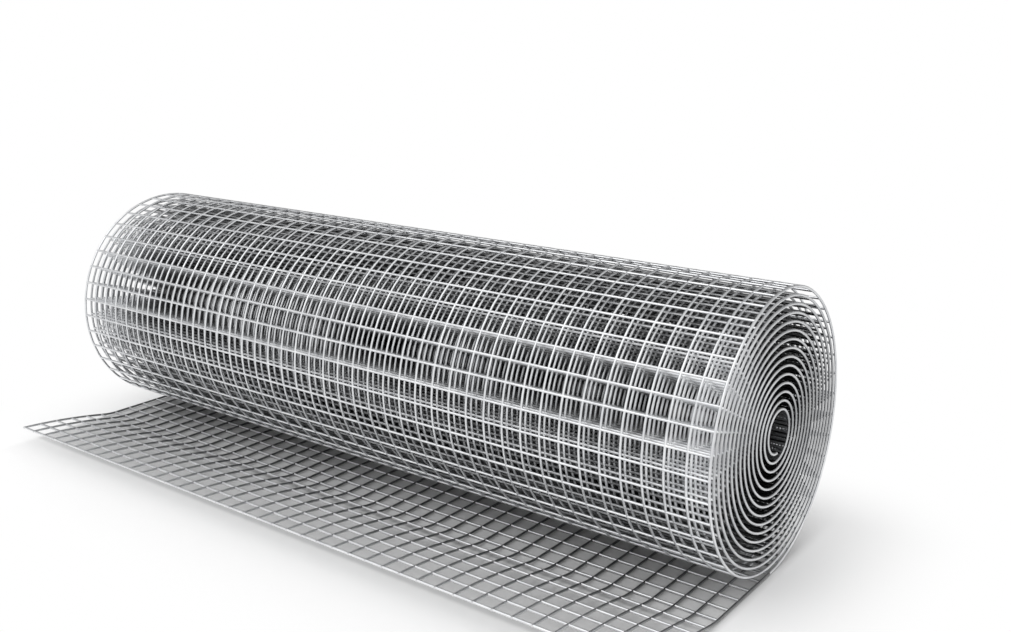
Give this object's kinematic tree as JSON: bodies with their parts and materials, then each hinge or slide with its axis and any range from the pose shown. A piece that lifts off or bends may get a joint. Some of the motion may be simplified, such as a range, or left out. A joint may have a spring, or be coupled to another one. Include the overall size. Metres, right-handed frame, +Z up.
{
  "type": "wire mesh roll",
  "caption": "Roll of galvanised welded square wire mesh lying on its side, its free end unrolled flat in front and lifting to a loose edge.",
  "frame": {"origin": "on the floor, below the middle of the part's box", "axes": "+X along the roll's axis, towards the end that faces the viewer; +Z up; the free end is unrolled towards -Y"},
  "size_m": [1.028, 0.4344, 0.3274],
  "materials": {
    "zinc_wire": "bright galvanised"
  },
  "bodies": {
    "root": {"wound_roll": "zinc_wire", "last_turn": "zinc_wire", "tail_flat": "zinc_wire", "tail_lip": "zinc_wire"}
  },
  "joints": []
}
